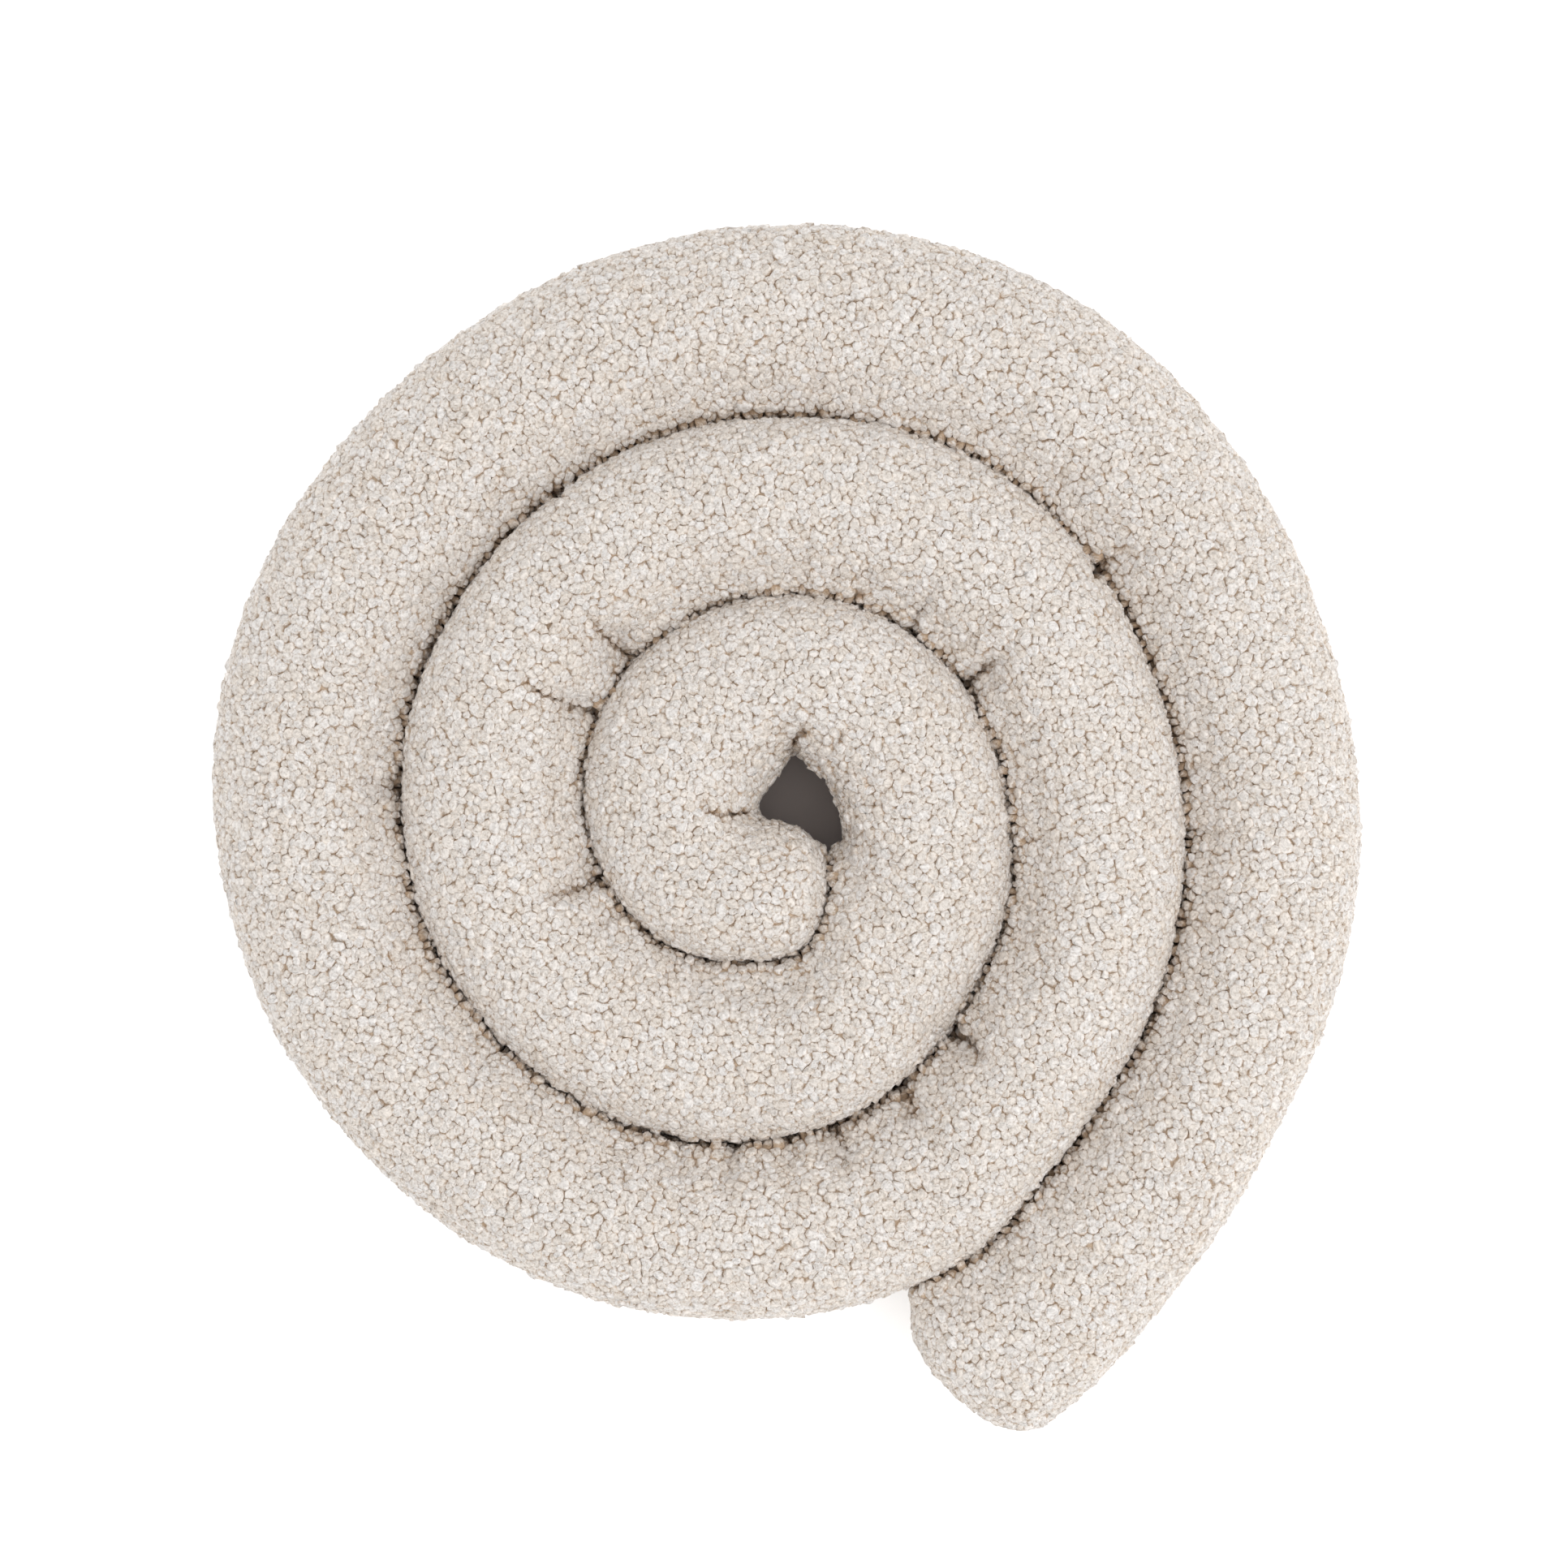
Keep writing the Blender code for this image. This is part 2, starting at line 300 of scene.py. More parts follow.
def lean_windings(mesh):
    """The loose inner side of each winding swells until it meets the next one."""
    points = points_of(mesh)
    normals = normals_of(mesh)
    tree = BVHTree.FromPolygons(points.tolist(), [face.vertices[:] for face in mesh.polygons])
    gap = winding_gaps(tree, points, normals, WINDING_REACH)
    plan = points[:, :2] - np.array(COIL_CENTRE)
    looser = np.interp(np.linalg.norm(plan, axis=1), *zip(*LOOSER_SIDE))
    turned = np.arctan2(plan[:, 1], plan[:, 0]) - np.radians(looser)
    rest = WINDING_REST + WINDING_SLACK * np.cos(turned)
    loose = np.clip(facing_middle(points, normals) * 3, 0, 1) * (gap < WINDING_REACH)
    swell = np.clip(gap - rest, -0.001, LEAN_LIMIT) * loose
    push_out(mesh, neighbours_mean(mesh, swell, SMOOTHING_ROUNDS))


def make_sleeve():
    """Ground cloth of the tube, swollen and lumpy as its filling, inside the pile."""
    sleeve = link(bpy.data.objects.new("sleeve", welded_copy(SNAKE)))
    smooth = sleeve.modifiers.new("smooth", "SUBSURF")
    smooth.levels = 1
    smooth.render_levels = 1
    rough = sleeve.data
    sleeve.data = with_modifiers(sleeve)
    sleeve.modifiers.clear()
    bpy.data.meshes.remove(rough)
    mesh = sleeve.data
    mesh.name = "sleeve"
    push_out(mesh, -PILE_HEIGHT)
    push_out(mesh, -SLACK_START)
    fill_sleeve(sleeve)
    for _ in range(LEAN_ROUNDS):
        lean_windings(mesh)
    points = points_of(mesh)
    lumps = np.array([noise.noise(Vector(point) / FILL_LUMP_SPAN) for point in points])
    free = np.clip((points[:, 2] - REST_HEIGHT) / FREE_HEIGHT, 0, 1)
    push_out(mesh, lumps * FILL_LUMP * free)
    mesh.shade_smooth()
    return sleeve


def fold_depths(places, facings):
    """How far folds and pleats draw the cloth in, at each place."""
    plan = places[:, :2] - np.array(COIL_CENTRE)
    wave, speed = FOLD_WAVE
    upper = np.clip(facings[:, 2] * 3 + 0.6, 0, 1) * np.clip(places[:, 2] / FOLD_START - 1, 0, 1)
    depth = np.zeros(len(places))
    for direction, foot, length, lean, deep, half_width in FOLDS:
        way = math.radians(direction)
        along = math.radians(direction + lean)
        start = foot * np.array([math.cos(way), math.sin(way)])
        line = np.array([math.cos(along), math.sin(along)])
        reach = (plan - start) @ line / length
        bend = wave * length * np.sin(reach * speed)
        aside = (plan - start) @ np.array([-line[1], line[0]]) - bend
        beyond = np.maximum(-reach, 0) * length
        fade = np.clip(1 - reach, 0, 1) ** 0.8
        dip = deep * fade * np.exp(-(aside ** 2 + beyond ** 2) / half_width ** 2)
        depth = np.maximum(depth, dip)
    radius = np.linalg.norm(plan, axis=1)
    squeezed = np.clip(facing_middle(places, facings) * 2.2 - 0.25, 0, 1)
    ring = plan / radius[:, None] * PLEATS_ROUND
    gather = np.array([noise.noise((x, y, r * 9)) for (x, y), r in zip(ring, radius)])
    pleat = PLEAT_DEPTH * squeezed * np.clip(gather * 2.2, -1, 1)
    return (depth + pleat) * upper


# ---------------------------------------------------------------- curls

class Cloth:
    """The ground cloth as arrays, with a tree to find places on it."""

    def __init__(self, mesh):
        mesh.calc_loop_triangles()
        corners = np.empty(len(mesh.loop_triangles) * 3, np.int32)
        mesh.loop_triangles.foreach_get("vertices", corners)
        self.corners = corners.reshape(-1, 3)
        self.points = points_of(mesh)
        self.normals = normals_of(mesh)
        self.tree = BVHTree.FromPolygons(self.points.tolist(), self.corners.tolist())

    def areas(self):
        """The area of each triangle of the cloth."""
        a, b, c = (self.points[self.corners[:, i]] for i in range(3))
        return np.linalg.norm(np.cross(b - a, c - a), axis=1) / 2

    def random_places(self, draw):
        """As many places as curls fit, spread by the room that each needs."""
        facing = self.normals[self.corners].mean(axis=1)
        room = spacing_at(facing) ** 2 * math.sqrt(3) / 2
        reach = np.cumsum(self.areas() / room * CURL_CROWDING)
        count = int(reach[-1])
        step = (np.arange(count) + draw.random(count)) / count
        face = np.searchsorted(reach, step * reach[-1])
        face = self.corners[np.minimum(face, len(reach) - 1)]
        u = np.sqrt(draw.random(count))
        v = draw.random(count)
        weights = np.stack([1 - u, u * (1 - v), u * v], axis=1)
        return np.einsum("ij,ijk->ik", weights, self.points[face])

    def nearest(self, places):
        """The places brought back onto the cloth, and its smooth normals there."""
        found = [self.tree.find_nearest(place) for place in places.tolist()]
        face = self.corners[[hit[2] for hit in found]]
        at = np.array([hit[0] for hit in found])
        a, b, c = (self.points[face[:, i]] for i in range(3))
        ab, ac, ap = b - a, c - a, at - a
        d00 = np.einsum("ij,ij->i", ab, ab)
        d01 = np.einsum("ij,ij->i", ab, ac)
        d11 = np.einsum("ij,ij->i", ac, ac)
        d20 = np.einsum("ij,ij->i", ap, ab)
        d21 = np.einsum("ij,ij->i", ap, ac)
        whole = d00 * d11 - d01 * d01
        v = (d11 * d20 - d01 * d21) / whole
        w = (d00 * d21 - d01 * d20) / whole
        weights = np.stack([1 - v - w, v, w], axis=1)
        facing = np.einsum("ij,ijk->ik", weights, self.normals[face])
        return at, facing / np.linalg.norm(facing, axis=1)[:, None]


def near_pairs(places, reach):
    """All pairs of places closer than reach, each pair both ways round."""
    cells = np.floor((places - places.min(axis=0)) / reach).astype(np.int64) + 1
    across = cells.max(axis=0) + 2
    key = (cells[:, 0] * across[1] + cells[:, 1]) * across[2] + cells[:, 2]
    order = np.argsort(key, kind="stable")
    ranked = key[order]
    steps = (-1, 0, 1)
    ones = []
    others = []
    for shift in [(dx * across[1] + dy) * across[2] + dz
                  for dx in steps for dy in steps for dz in steps]:
        first = np.searchsorted(ranked, key + shift, "left")
        count = np.searchsorted(ranked, key + shift, "right") - first
        one = np.repeat(np.arange(len(places)), count)
        rank = np.arange(count.sum()) - np.repeat(np.cumsum(count) - count, count)
        other = order[np.repeat(first, count) + rank]
        apart = np.linalg.norm(places[one] - places[other], axis=1)
        near = (apart < reach) & (one != other)
        ones.append(one[near])
        others.append(other[near])
    return np.concatenate(ones), np.concatenate(others)


def spacing_at(facings):
    """Curls stand closer on top, where they show, than underneath."""
    return np.interp(facings[:, 2], SPACING_TURN, (LOW_SPACING, TOP_SPACING))


def spread_curls(cloth, draw):
    """Places and directions of curls that crowd the cloth evenly, and their spacings."""
    places, facings = cloth.nearest(cloth.random_places(draw))
    count = len(places)
    sizes = np.clip(draw.normal(1.0, CURL_UNEVEN, count), *CURL_SIZES)
    for stage in np.linspace(0, 1, SETTLING_ROUNDS):
        room = spacing_at(facings) * sizes * (1.30 - 0.30 * stage)
        one, other = near_pairs(places, LOW_SPACING * 1.5)
        same_side = np.einsum("ij,ij->i", facings[one], facings[other]) > SAME_SIDE
        one = one[same_side]
        other = other[same_side]
        way = places[one] - places[other]
        apart = np.linalg.norm(way, axis=1) + 1e-9
        wanted = (room[one] + room[other]) / 2
        shove = np.maximum(wanted - apart, 0) * SHOVE / apart
        step = np.zeros_like(places)
        for axis in range(3):
            step[:, axis] = np.bincount(one, way[:, axis] * shove, minlength=count)
        length = np.linalg.norm(step, axis=1) + 1e-9
        step *= np.minimum(1, SHOVE_LIMIT * TOP_SPACING / length)[:, None]
        places, facings = cloth.nearest(places + step)
    return places, facings, sizes * spacing_at(facings)


def hidden_places(places, facings, gap):
    """True where the next winding or the surface below covers the pile."""
    pressed = (places[:, 2] < REST_HEIGHT) & (facings[:, 2] < -0.7)
    return pressed | (gap < 2 * PILE_HEIGHT + TIGHT_GAP)


def lobes(count, sides, depths, draw):
    """Uneven rounds: a factor for each side of each curl."""
    angle = np.arange(sides) / sides * 2 * math.pi
    form = np.ones((count, sides))
    for waves, depth in depths:
        size = depth * (0.3 + 0.7 * draw.random((count, 1)))
        form += size * np.cos(waves * angle + draw.random((count, 1)) * 2 * math.pi)
    return form


def room_around(places, facings, side, across, sizes, directions):
    """How far each curl reaches, in each direction, before it meets the next."""
    one, other = near_pairs(places, LOW_SPACING * 1.7)
    same_side = np.einsum("ij,ij->i", facings[one], facings[other]) > SAME_SIDE
    one = one[same_side]
    other = other[same_side]
    way = places[other] - places[one]
    half = np.linalg.norm(way, axis=1) * sizes[one] / (sizes[one] + sizes[other])
    bearing = np.arctan2(np.einsum("ij,ij->i", way, across[one]),
                         np.einsum("ij,ij->i", way, side[one]))
    room = np.repeat(CURL_REACH * sizes[:, None], directions, axis=1)
    for number in range(directions):
        toward = np.cos(bearing - number * 2 * math.pi / directions)
        ahead = toward > 0.2
        np.minimum.at(room[:, number], one[ahead], half[ahead] / toward[ahead])
    return room


def curl_shapes(places, facings, sizes, shaggy, opened, axes, room, rings, draw):
    """Vertices, faces and per-vertex values of many curls at once."""
    count = len(places)
    sides = room.shape[1] // 2
    side, across = axes
    radius = room.mean(axis=1)
    room = room * (1 - OPEN_NARROWING * opened[:, None])
    typical = np.sqrt(sizes * sizes.mean())
    height = CURL_RISE * draw.uniform(*HEIGHT_SPREAD, count) * typical
    clump = np.array([noise.noise(Vector(place) / CLUMP_SPAN) for place in places.tolist()])
    height *= 1 + CLUMP_RISE * np.clip(clump * 2, -1, 1)
    sink = opened * draw.uniform(*OPEN_SINK, count)
    height *= 1 - sink + shaggy * draw.uniform(*SHAGGY_RISE, count)
    room = room * lobes(count, 2 * sides, CURL_OUTLINE, draw)
    lean = (CURL_LEAN + OPEN_LEAN * opened[:, None]) * draw.random((count, 1)) * 2 * radius[:, None]
    lean_way = draw.random((count, 1)) * 2 * math.pi
    angle = np.arange(sides) / sides * 2 * math.pi

    x = [np.zeros((count, 1))]
    y = [np.zeros((count, 1))]
    z = [height[:, None] * draw.uniform(*TIP_SPREAD, (count, 1))]
    for number, (share, rise) in enumerate(rings):
        reach = share * room[:, (np.arange(sides) * 2 + number) % (2 * sides)]
        turned = angle + number * math.pi / sides
        x.append(reach * np.cos(turned))
        y.append(reach * np.sin(turned))
        if rise > 0:
            uneven = lobes(count, sides, CURL_RIM, draw)
            z.append(height[:, None] * rise * uneven)
        else:
            z.append(np.full((count, sides), -CURL_ROOT))
    x = np.concatenate(x, axis=1)
    y = np.concatenate(y, axis=1)
    z = np.concatenate(z, axis=1)
    leaning = np.clip(z / height[:, None], 0, 1) * lean
    x += leaning * np.cos(lean_way)
    y += leaning * np.sin(lean_way)
    points = (places[:, None, :] + x[:, :, None] * side[:, None, :]
              + y[:, :, None] * across[:, None, :] + z[:, :, None] * facings[:, None, :])
    points[:, :, 2] = np.maximum(points[:, :, 2], CLEARANCE)

    faces = []
    for j in range(sides):
        faces.append((0, 1 + j, 1 + (j + 1) % sides))
    for ring in range(len(rings) - 1):
        inner = 1 + ring * sides
        outer = inner + sides
        for j in range(sides):
            k = (j + 1) % sides
            faces.append((inner + j, outer + j, inner + k))
            faces.append((outer + j, outer + k, inner + k))
    per_curl = 1 + sides * len(rings)
    faces = np.array(faces)[None, :, :] + (np.arange(count) * per_curl)[:, None, None]

    share = np.repeat([1.0] + [ring[1] for ring in rings], [1] + [sides] * len(rings))
    rise = share * 0.8 + np.clip(z / CURL_RISE / typical[:, None], 0, 1.2) * 0.2
    strand = np.stack([x, y, z], axis=2)
    strand += draw.uniform(-1, 1, (count, 1, 3)) * STRAND_SHIFT
    values = {
        # how high up its curl a vertex stands; it sets the root tan, partly painted crevice shade
        "curl_rise": rise.ravel(),
        "curl_tone": np.repeat(draw.random(count), per_curl),
        # how open the pile is; it also sets the painted groove shade of the yarn
        "curl_open": np.repeat(opened, per_curl),
        "curl_strand": strand.reshape(-1, 3),
        "curl_plan": np.tile(curl_plan(rings, sides), (count, 1)),
        "curl_number": np.repeat(np.arange(count), per_curl),
    }
    return points.reshape(-1, 3), faces.reshape(-1, 3), values


def curl_plan(rings, sides):
    """A curl laid flat: its middle at 0, 0 and its foot on the unit circle."""
    angle = np.arange(sides) / sides * 2 * math.pi
    plan = [np.zeros((1, 2))]
    for number, (share, _) in enumerate(rings):
        turned = angle + number * math.pi / sides
        plan.append(share * np.stack([np.cos(turned), np.sin(turned)], axis=1))
    return np.concatenate(plan)


def add_bake_map(mesh, corners, plan, number):
    """Each curl gets its own tile of the piece's bake map."""
    across = math.ceil(math.sqrt(number.max() + 1))
    tile = np.stack([number % across, number // across], axis=1)
    spots = (tile + 0.5 + plan * TILE_FILL) / across
    mesh.uv_layers.new(name="OFBake").data.foreach_set("uv", spots[corners].ravel())


def pile_piece(name, parts, material):
    """One joined mesh of curls, from several sets of curl shapes."""
    starts = np.cumsum([0] + [len(points) for points, _, _ in parts])
    points = np.concatenate([points for points, _, _ in parts])
    faces = np.concatenate([faces + start for (_, faces, _), start in zip(parts, starts)])
    mesh = bpy.data.meshes.new(name)
    mesh.vertices.add(len(points))
    mesh.vertices.foreach_set("co", points.ravel())
    mesh.loops.add(faces.size)
    mesh.loops.foreach_set("vertex_index", faces.ravel())
    mesh.polygons.add(len(faces))
    mesh.polygons.foreach_set("loop_start", np.arange(len(faces)) * 3)
    mesh.update(calc_edges=True)
    for key, kind, field in (
        ("curl_rise", "FLOAT", "value"),
        ("curl_tone", "FLOAT", "value"),
        ("curl_open", "FLOAT", "value"),
        ("curl_strand", "FLOAT_VECTOR", "vector"),
    ):
        value = np.concatenate([values[key] for _, _, values in parts])
        mesh.attributes.new(key, kind, "POINT").data.foreach_set(field, value.ravel())
    before = np.cumsum([0] + [values["curl_number"].max() + 1 for _, _, values in parts])
    number = [values["curl_number"] + first for (_, _, values), first in zip(parts, before)]
    plan = np.concatenate([values["curl_plan"] for _, _, values in parts])
    add_bake_map(mesh, faces.ravel(), plan, np.concatenate(number))
    mesh.shade_smooth()
    mesh.materials.append(material)
    return link(bpy.data.objects.new(name, mesh))


def shagginess(places, facings, gap):
    """1 in the grooves between windings, where the pile is shaggy, 0 on top."""
    inward = facing_middle(places, facings)
    plan = places[:, :2] - np.array(COIL_CENTRE)
    turned = np.arctan2(plan[:, 1], plan[:, 0]) - math.radians(SHAGGY_SIDE)
    tidy = 0.5 - 0.5 * np.cos(turned)
    reach = GROOVE_REACH - TIDY_NARROWING * tidy
    groove = np.clip((reach - gap) / (reach - WINDING_REST), 0, 1)
    groove *= np.clip(0.8 + inward, OUTER_SHAGGINESS, 1)
    flank = FLANK_SHAGGINESS * np.clip(inward * 1.6 - 0.35, 0, 1)
    flank += DEEP_SHAGGINESS * np.clip((inward - 0.65) / 0.25, 0, 1)
    flank *= 1 - TIDY_SHARE * tidy
    return np.clip(np.maximum(groove, flank), 0, 1)


def openness(shaggy, depth):
    """1 where grooves and folds part the pile, 0 where it is closed."""
    return np.maximum(shaggy, np.interp(depth, FOLD_OPENING, (0, 1)))


def settle_ground(mesh, cloth):
    """The ground cloth drawn in by the folds, and matted with pile where it is closed."""
    gap = winding_gaps(cloth.tree, cloth.points, cloth.normals, GROOVE_REACH)
    depth = fold_depths(cloth.points, cloth.normals)
    opened = openness(shagginess(cloth.points, cloth.normals, gap), depth)
    push_out(mesh, MATTED * (1 - opened) - LOWERED * opened - depth)


def make_pile(sleeve, material):
    """The whole pile, in sectors round the coil's middle."""
    draw = np.random.default_rng(SEED)
    cloth = Cloth(sleeve.data)
    places, facings, sizes = spread_curls(cloth, draw)
    gap = winding_gaps(cloth.tree, places, facings, GROOVE_REACH)
    covered = hidden_places(places, facings, gap)
    depth = fold_depths(places, facings)
    shaggy = shagginess(places, facings, gap)
    opened = openness(shaggy, depth)
    places = places - facings * depth[:, None]
    settle_ground(sleeve.data, cloth)
    side = np.cross(facings, draw.normal(size=facings.shape))
    side /= np.linalg.norm(side, axis=1)[:, None]
    across = np.cross(facings, side)
    direction = np.arctan2(places[:, 1], places[:, 0])
    sector = ((direction + math.pi) / (2 * math.pi) * SECTORS).astype(int) % SECTORS
    pieces = []
    on_top = facings[:, 2] > TOP_FACING
    kinds = [
        (chosen, rings, room_around(places, facings, side, across, sizes, 2 * sides))
        for chosen, rings, sides in (
            (on_top & ~covered, FULL_CURL_RINGS, FULL_CURL_SIDES),
            (~on_top & ~covered, SIDE_CURL_RINGS, SIDE_CURL_SIDES),
            (covered, PLAIN_CURL_RINGS, PLAIN_CURL_SIDES),
        )
    ]
    for number in range(SECTORS):
        parts = []
        for chosen, rings, room in kinds:
            mask = chosen & (sector == number)
            parts.append(curl_shapes(places[mask], facings[mask], sizes[mask],
                                     shaggy[mask], opened[mask],
                                     (side[mask], across[mask]), room[mask], rings, draw))
        pieces.append(pile_piece(f"pile_{number + 1}", parts, material))
    return pieces


# ---------------------------------------------------------------- materials

def node_group(name, inputs, outputs):
    """An empty shader node group with its named sockets."""
    group = bpy.data.node_groups.new(name, "ShaderNodeTree")
    for label, kind, value in inputs:
        socket = group.interface.new_socket(label, in_out="INPUT", socket_type=kind)
        if value is not None:
            socket.default_value = value
    for label, kind in outputs:
        group.interface.new_socket(label, in_out="OUTPUT", socket_type=kind)
    entry = group.nodes.new("NodeGroupInput")
    leave = group.nodes.new("NodeGroupOutput")
    return group, entry, leave


def maths(group, kind, first, second=None):
    """A math node; each of its two inputs is a number or an output to link."""
    node = group.nodes.new("ShaderNodeMath")
    node.operation = kind
    for slot, value in enumerate((first, second)):
        if isinstance(value, (int, float)):
            node.inputs[slot].default_value = value
        elif value is not None:
            group.links.new(value, node.inputs[slot])
    return node.outputs[0]


def noise_at(group, vector, scale, detail, roughness=0.5):
    """A noise texture node at the places that a vector gives."""
    node = group.nodes.new("ShaderNodeTexNoise")
    node.inputs["Scale"].default_value = scale
    node.inputs["Detail"].default_value = detail
    node.inputs["Roughness"].default_value = roughness
    group.links.new(vector, node.inputs["Vector"])
    return node


def scaled(group, vector, factor):
    """A vector, or a colour, times a factor."""
    node = group.nodes.new("ShaderNodeVectorMath")
    node.operation = "SCALE"
    group.links.new(vector, node.inputs[0])
    group.links.new(factor, node.inputs["Scale"])
    return node.outputs["Vector"]


def blend(group, factor, first, second):
    """The first colour where the factor is 0, the second where it is 1."""
    node = group.nodes.new("ShaderNodeMix")
    node.data_type = "RGBA"
    group.links.new(factor, node.inputs["Factor"])
    group.links.new(first, node.inputs["A"])
    group.links.new(second, node.inputs["B"])
    return node.outputs["Result"]


def yarn_relief_group():
    """Loops and strands of a curl: strands run round its middle, in small knots.

    Place is the spot in the curl's own axes, in metres, from its middle.
    """
    group, entry, leave = node_group(
        "yarn relief",
        (("Place", "NodeSocketVector", None), ("Fineness", "NodeSocketFloat", 1.0)),
        (("Height", "NodeSocketFloat"),),
    )
    nodes = group.nodes
    links = group.links
    place = scaled(group, entry.outputs["Place"], entry.outputs["Fineness"])
    knots = noise_at(group, place, KNOTS, 1.0).outputs["Fac"]
    bend = noise_at(group, place, BENDS, 1.0)
    shift = nodes.new("ShaderNodeVectorMath")
    shift.operation = "MULTIPLY_ADD"
    shift.inputs[1].default_value = (BEND_REACH, BEND_REACH, BEND_REACH)
    links.new(bend.outputs["Color"], shift.inputs[0])
    links.new(place, shift.inputs[2])
    split = nodes.new("ShaderNodeSeparateXYZ")
    links.new(shift.outputs["Vector"], split.inputs[0])
    squares = maths(group, "ADD", maths(group, "POWER", split.outputs["X"], 2.0),
                    maths(group, "POWER", split.outputs["Y"], 2.0))
    reach = maths(group, "SQRT", squares)
    side = maths(group, "DIVIDE", split.outputs["X"], maths(group, "ADD", reach, 0.0002))
    rise = maths(group, "DIVIDE", split.outputs["Y"], maths(group, "ADD", reach, 0.0002))
    ring = nodes.new("ShaderNodeCombineXYZ")
    links.new(maths(group, "MULTIPLY", side, STRAND_TURN), ring.inputs["X"])
    links.new(maths(group, "MULTIPLY", rise, STRAND_TURN), ring.inputs["Y"])
    links.new(maths(group, "ADD", reach, split.outputs["Z"]), ring.inputs["Z"])
    strands = noise_at(group, ring.outputs[0], STRANDS, 2.0, 0.6).outputs["Fac"]
    height = maths(group, "ADD", maths(group, "MULTIPLY", knots, 0.5),
                   maths(group, "MULTIPLY", strands, 0.5))
    links.new(height, leave.inputs["Height"])
    return group


def yarn_tone_group():
    """Cream yarn, tan between its strands and towards its root: partly the root's own tan, partly
    painted shade of the crevices, with darker brown painted shade where grooves and folds open the pile.
    """
    group, entry, leave = node_group(
        "yarn tone",
        (
            ("Rise", "NodeSocketFloat", 1.0),
            ("Relief", "NodeSocketFloat", 0.5),
            ("Opened", "NodeSocketFloat", 0.0),
            ("Tone", "NodeSocketFloat", 0.5),
            ("Tip", "NodeSocketColor", (0.8, 0.8, 0.8, 1)),
            ("Warm Tip", "NodeSocketColor", (0.8, 0.7, 0.6, 1)),
            ("Root And Crevice Shade", "NodeSocketColor", (0.4, 0.3, 0.2, 1)),
            ("Groove Shade", "NodeSocketColor", (0.3, 0.2, 0.15, 1)),
        ),
        (("Colour", "NodeSocketColor"),),
    )
    nodes = group.nodes
    links = group.links
    climb = nodes.new("ShaderNodeMapRange")
    climb.interpolation_type = "SMOOTHSTEP"
    climb.inputs["From Min"].default_value = ROOT_TONE_TOP
    climb.inputs["From Max"].default_value = 1.00
    strands = maths(group, "SUBTRACT", entry.outputs["Relief"], 0.5)
    sunk = maths(group, "MULTIPLY", entry.outputs["Opened"], OPEN_SUNK)
    shown = maths(group, "SUBTRACT", entry.outputs["Rise"], sunk)
    frayed = maths(group, "MULTIPLY", strands, STRAND_FRAY)
    links.new(maths(group, "ADD", shown, frayed), climb.inputs["Value"])
    yarn = blend(group, entry.outputs["Tone"], entry.outputs["Tip"], entry.outputs["Warm Tip"])
    curl = blend(group, climb.outputs["Result"], entry.outputs["Root And Crevice Shade"], yarn)
    # painted shade: where grooves and folds open the pile, the yarn turns dark brown, most at its roots
    parted = maths(group, "POWER", entry.outputs["Opened"], 2.0)
    fading = maths(group, "MULTIPLY", climb.outputs["Result"], GROOVE_SHADE_AT_ROOT - GROOVE_SHADE_AT_TIP)
    below = maths(group, "SUBTRACT", GROOVE_SHADE_AT_ROOT, fading)
    groove = blend(group, maths(group, "MULTIPLY", parted, below), curl, entry.outputs["Groove Shade"])
    shade = nodes.new("ShaderNodeMapRange")
    shade.inputs["To Min"].default_value = 1.02
    shade.inputs["To Max"].default_value = 0.95
    links.new(entry.outputs["Tone"], shade.inputs["Value"])
    # painted shade between the strands, times a random brightness for each curl
    light = maths(group, "ADD", shade.outputs["Result"], maths(group, "MULTIPLY", strands, STRAND_SHADE))
    links.new(scaled(group, groove, light), leave.inputs["Colour"])
    return group


def plain_shader(name, roughness):
    """A new material and its Principled BSDF."""
    material = bpy.data.materials.new(name)
    material.use_nodes = True
    shader = material.node_tree.nodes["Principled BSDF"]
    shader.inputs["Roughness"].default_value = roughness
    return material, shader


def cloth_shader(name):
    """A material that is dull and has the soft sheen of short fibres."""
    material, shader = plain_shader(name, 0.92)
    shader.inputs["Specular IOR Level"].default_value = 0.20
    shader.inputs["Sheen Weight"].default_value = 0.22
    shader.inputs["Sheen Roughness"].default_value = 0.5
    shader.inputs["Sheen Tint"].default_value = (1.0, 0.97, 0.93, 1.0)
    return material, shader


def add_bump(material, shader, height, strength, distance):
    """Fine relief in a material, as deep as distance."""
    bump = material.node_tree.nodes.new("ShaderNodeBump")
    bump.inputs["Strength"].default_value = strength
    bump.inputs["Distance"].default_value = distance
    material.node_tree.links.new(height, bump.inputs["Height"])
    material.node_tree.links.new(bump.outputs["Normal"], shader.inputs["Normal"])


def attribute(material, name):
    """A node that reads one of the pile's own values."""
    node = material.node_tree.nodes.new("ShaderNodeAttribute")
    node.attribute_name = name
    return node


def place_group(material, group, values):
    """A node group placed in a material, with its own values."""
    node = material.node_tree.nodes.new("ShaderNodeGroup")
    node.node_tree = group
    for label, value in values.items():
        node.inputs[label].default_value = value
    return node


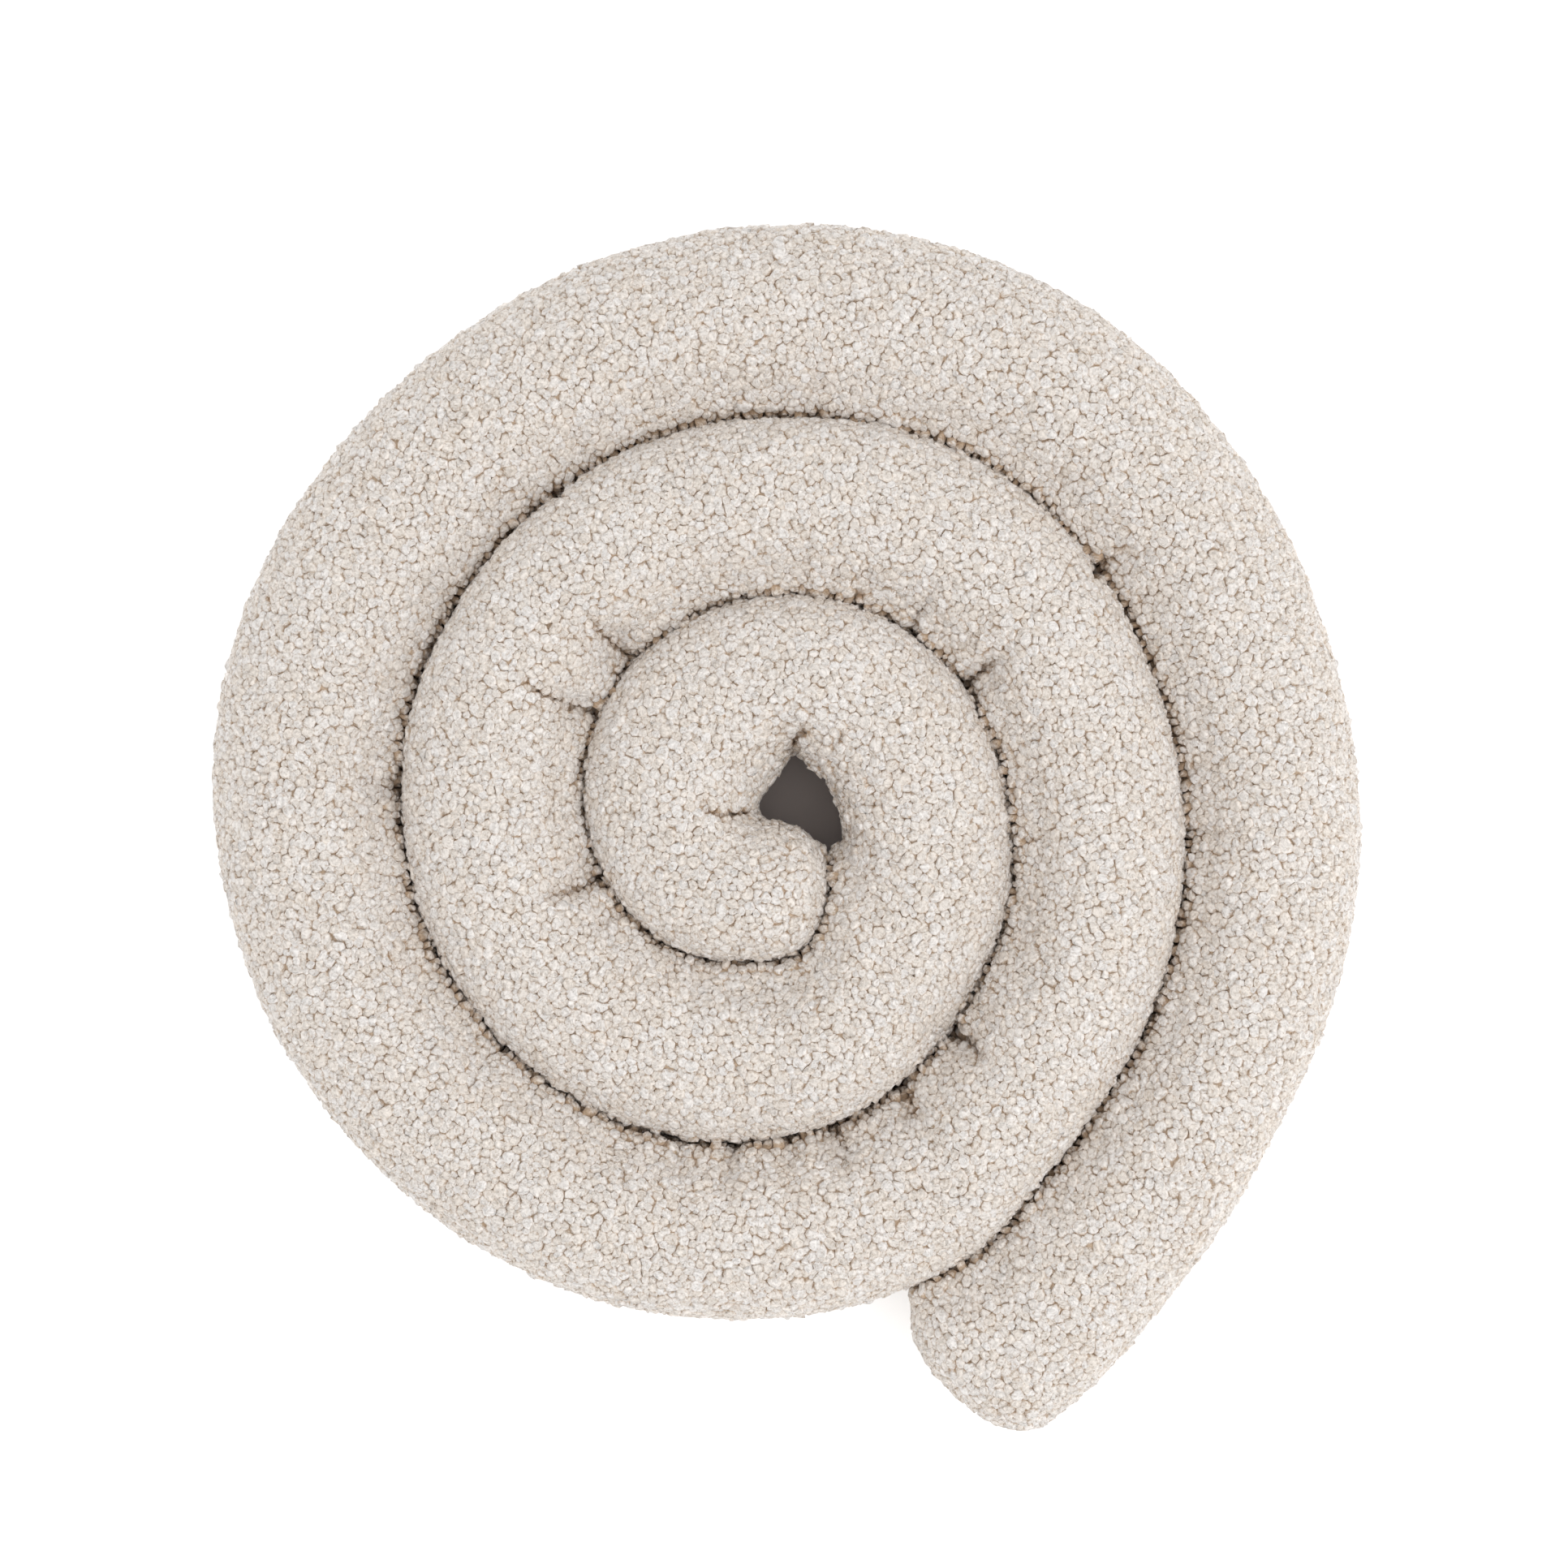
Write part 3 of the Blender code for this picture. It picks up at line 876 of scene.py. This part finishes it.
def curl_yarn(tone_group, relief_group):
    """The material of the curls."""
    material, shader = cloth_shader("curl yarn")
    links = material.node_tree.links
    relief = place_group(material, relief_group, {"Fineness": 1.0})
    tone = place_group(material, tone_group, {
        "Tip": (0.876, 0.840, 0.811, 1),
        "Warm Tip": (0.896, 0.820, 0.744, 1),
        "Root And Crevice Shade": (0.635, 0.470, 0.325, 1),
        # painted shade of the grooves and folds
        "Groove Shade": (0.50, 0.35, 0.235, 1),
    })
    links.new(attribute(material, "curl_strand").outputs["Vector"], relief.inputs["Place"])
    links.new(attribute(material, "curl_rise").outputs["Fac"], tone.inputs["Rise"])
    links.new(attribute(material, "curl_tone").outputs["Fac"], tone.inputs["Tone"])
    links.new(attribute(material, "curl_open").outputs["Fac"], tone.inputs["Opened"])
    links.new(relief.outputs["Height"], tone.inputs["Relief"])
    links.new(tone.outputs["Colour"], shader.inputs["Base Color"])
    add_bump(material, shader, relief.outputs["Height"], 1.0, 0.0018)
    return material


def ground_cloth(tone_group, relief_group):
    """The material of the cloth that the curls stand on."""
    material, shader = cloth_shader("ground cloth")
    nodes = material.node_tree.nodes
    links = material.node_tree.links
    place = nodes.new("ShaderNodeTexCoord")
    relief = place_group(material, relief_group, {"Fineness": 0.6})
    # tan knit, with painted shade between its strands from the tone group
    tone = place_group(material, tone_group, {
        "Tip": (0.62, 0.50, 0.385, 1),
        "Warm Tip": (0.64, 0.50, 0.37, 1),
        "Root And Crevice Shade": (0.50, 0.38, 0.28, 1),
    })
    links.new(place.outputs["Object"], relief.inputs["Place"])
    links.new(relief.outputs["Height"], tone.inputs["Relief"])
    links.new(tone.outputs["Colour"], shader.inputs["Base Color"])
    add_bump(material, shader, relief.outputs["Height"], 0.6, 0.0005)
    return material


# ---------------------------------------------------------------- studio

def make_floor():
    """A wide pale floor, which glows a little as in a light tent."""
    mesh = bpy.data.meshes.new("floor")
    corners = [(x * FLOOR_REACH, y * FLOOR_REACH, 0) for x, y in ((-1, -1), (1, -1), (1, 1), (-1, 1))]
    mesh.from_pydata(corners, [], [(0, 1, 2, 3)])
    floor = link(bpy.data.objects.new("floor", mesh))
    material, shader = plain_shader("studio floor", 0.9)
    shader.inputs["Base Color"].default_value = (0.90, 0.90, 0.90, 1)
    shader.inputs["Specular IOR Level"].default_value = 0.1
    shader.inputs["Emission Color"].default_value = (1, 1, 1, 1)
    shader.inputs["Emission Strength"].default_value = 0.35
    mesh.materials.append(material)


def make_painted_shade_disc():
    """A dark disc of painted shade under the coil, which shows in the hole at its middle and in the gaps
    between windings.
    """
    work = bmesh.new()
    bmesh.ops.create_circle(work, cap_ends=True, segments=48, radius=PAINTED_SHADE_RADIUS)
    mesh = bpy.data.meshes.new("painted_shade_disc")
    work.to_mesh(mesh)
    work.free()
    ground = link(bpy.data.objects.new("painted_shade_disc", mesh))
    ground.location = (*COIL_CENTRE, PAINTED_SHADE_HEIGHT)
    material, shader = plain_shader("painted shade disc", 0.9)
    # painted shade: dark grey-brown where the coil shades the floor
    shader.inputs["Base Color"].default_value = (0.42, 0.37, 0.355, 1)
    mesh.materials.append(material)


def make_light():
    """An even sky and one soft lamp from the right side."""
    world = bpy.data.worlds.new("studio")
    world.use_nodes = True
    sky = world.node_tree.nodes["Background"]
    sky.inputs["Color"].default_value = (1.0, 1.0, 1.0, 1)
    sky.inputs["Strength"].default_value = 0.955
    bpy.context.scene.world = world
    lamp = bpy.data.lights.new("window", "AREA")
    lamp.shape = "SQUARE"
    lamp.size = WINDOW_SIZE
    lamp.energy = 7.5
    window = link(bpy.data.objects.new("window", lamp))
    window.location = WINDOW_PLACE
    window.rotation_euler = (Vector((0, 0, 0)) - window.location).to_track_quat("-Z", "Y").to_euler()


def make_camera():
    """The camera, straight above the coil."""
    lens = bpy.data.cameras.new("camera")
    distance = CAMERA_HEIGHT - WIDEST_LINE
    lens.sensor_width = SENSOR * 1000
    lens.lens = SENSOR * 1000 * distance / FRAME_WIDTH
    camera = link(bpy.data.objects.new("camera", lens))
    camera.location = (COIL_MIDDLE[0], COIL_MIDDLE[1], CAMERA_HEIGHT)
    bpy.context.scene.camera = camera


def main():
    """The whole scene: the filled sleeve, its pile and the studio."""
    tone_group = yarn_tone_group()
    relief_group = yarn_relief_group()
    sleeve = make_sleeve()
    sleeve.data.materials.clear()
    sleeve.data.materials.append(ground_cloth(tone_group, relief_group))
    pile = make_pile(sleeve, curl_yarn(tone_group, relief_group))
    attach(sleeve, "root")
    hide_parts(SNAKE)
    for piece in pile:
        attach(piece, "root")
    make_floor()
    make_painted_shade_disc()
    make_light()
    make_camera()
    bpy.context.scene.view_settings.view_transform = "Standard"


main()
